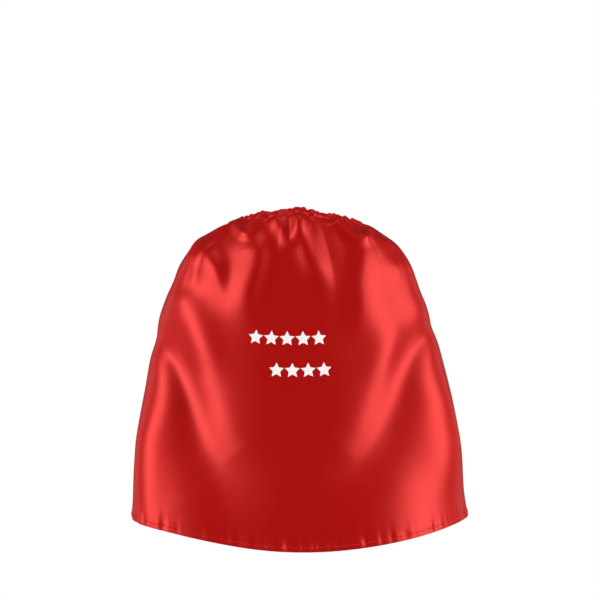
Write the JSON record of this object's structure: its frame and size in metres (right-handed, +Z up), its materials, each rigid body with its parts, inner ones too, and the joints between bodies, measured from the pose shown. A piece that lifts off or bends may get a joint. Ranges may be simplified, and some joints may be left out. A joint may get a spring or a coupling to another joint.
{
  "type": "superhero cape",
  "caption": "Child's short satin dress-up cape in its worn shape, with a gathered neck channel, stitched narrow hems, a throat closure and a printed star motif.",
  "frame": {"origin": "centre of the neck opening: the middle of the wearer's neck, level with the shoulders' tops", "axes": "+Z up, +Y the way the wearer faces, +X to the wearer's right; the printed back faces -Y"},
  "size_m": [0.4633, 0.2314, 0.4614],
  "materials": {
    "satin": "red polyester satin, glossy side out",
    "thread": "red polyester sewing thread",
    "elastic": "white braided elastic",
    "hook_tape": "red nylon hook tape",
    "loop_tape": "red brushed loop tape",
    "label": "white woven ribbon, blank",
    "print": "white heat-transfer film"
  },
  "bodies": {
    "cape_back": {"back_hem": "satin", "back_hem_stitch": "thread", "back_panel": "satin", "casing_stitch": "thread", "emblem_star_1": "print", "emblem_star_2": "print", "emblem_star_3": "print", "emblem_star_4": "print", "emblem_star_5": "print", "emblem_star_6": "print", "emblem_star_7": "print", "emblem_star_8": "print", "emblem_star_9": "print", "label_stitch": "thread", "left_elastic_tack": "thread", "left_yoke_edge_hem": "satin", "left_yoke_edge_stitch": "thread", "neck_casing": "satin", "neck_elastic": "elastic", "right_elastic_tack": "thread", "right_yoke_edge_hem": "satin", "right_yoke_edge_stitch": "thread", "yoke_panel": "satin"},
    "left_wing": {"left_wing_panel": "satin", "left_wing_hem": "satin", "left_wing_hem_stitch": "thread", "left_wing_edge_hem": "satin", "left_wing_edge_stitch": "thread"},
    "right_wing": {"right_wing_panel": "satin", "right_wing_hem": "satin", "right_wing_hem_stitch": "thread", "right_wing_edge_hem": "satin", "right_wing_edge_stitch": "thread"},
    "left_strap": {"left_strap": "satin", "loop_pad": "loop_tape"},
    "right_strap": {"right_strap": "satin"},
    "hook_tab": {"hook_tab": "satin", "hook_pad": "hook_tape"},
    "care_label": {"care_label": "label"}
  },
  "joints": [
    {"name": "left_wing_swing", "type": "hinge", "parent": "cape_back", "child": "left_wing", "pos_m": [-0.108, -0.135, -0.26], "axis": [0, 0, 1], "range_deg": [0, 40], "stiffness_Nm_per_rad": 0.05},
    {"name": "right_wing_swing", "type": "hinge", "parent": "cape_back", "child": "right_wing", "pos_m": [0.108, -0.135, -0.26], "axis": [0, 0, -1], "range_deg": [0, 40], "stiffness_Nm_per_rad": 0.05},
    {"name": "right_strap_open", "type": "hinge", "parent": "cape_back", "child": "right_strap", "pos_m": [0.0726, 0.0502, -0.025], "axis": [0, 0, -1], "range_deg": [0, 100]},
    {"name": "left_strap_open", "type": "hinge", "parent": "cape_back", "child": "left_strap", "pos_m": [-0.0726, 0.0502, -0.025], "axis": [0, 0, 1], "range_deg": [0, 40]},
    {"name": "hook_tab_peel", "type": "hinge", "parent": "right_strap", "child": "hook_tab", "pos_m": [0.01995, 0.0703, -0.032], "axis": [0, 0, -1], "range_deg": [0, 110]},
    {"name": "care_label_flip", "type": "hinge", "parent": "cape_back", "child": "care_label", "pos_m": [0, -0.0727, 0.00705], "axis": [1, 0, 0], "range_deg": [0, 100], "stiffness_Nm_per_rad": 0.001}
  ],
  "couplings": [
    {"joint": "left_strap_open", "follows": "right_strap_open", "ratio": 0.4}
  ]
}
